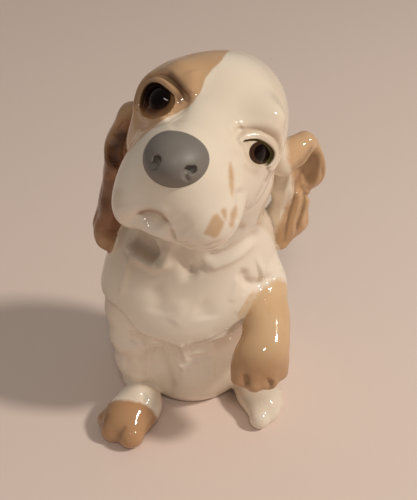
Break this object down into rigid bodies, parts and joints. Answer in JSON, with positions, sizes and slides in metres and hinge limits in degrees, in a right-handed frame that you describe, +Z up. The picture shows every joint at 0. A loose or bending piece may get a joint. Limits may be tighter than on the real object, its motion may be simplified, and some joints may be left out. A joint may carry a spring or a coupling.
{
  "type": "porcelain dog figurine",
  "caption": "Glazed porcelain puppy that sits upright with a tilted head, long drooping ears and one raised forepaw, resting on its flat base.",
  "frame": {"origin": "centre of the flat underside of the torso, on the table", "axes": "+Z up, -Y towards the front where the puppy's chest faces, +X towards the puppy's left side"},
  "size_m": [0.0741, 0.0869, 0.1285],
  "materials": {
    "ivory_glaze": "clear gloss glaze",
    "tan_glaze": "clear gloss glaze",
    "brown_glaze": "clear gloss glaze"
  },
  "bodies": {
    "root": {"torso": "ivory_glaze", "head": "ivory_glaze", "right_ear": "brown_glaze", "left_ear": "tan_glaze", "right_foreleg": "ivory_glaze", "left_foreleg": "tan_glaze", "right_hind_leg": "tan_glaze", "left_hind_leg": "ivory_glaze", "tail": "ivory_glaze"}
  },
  "joints": []
}
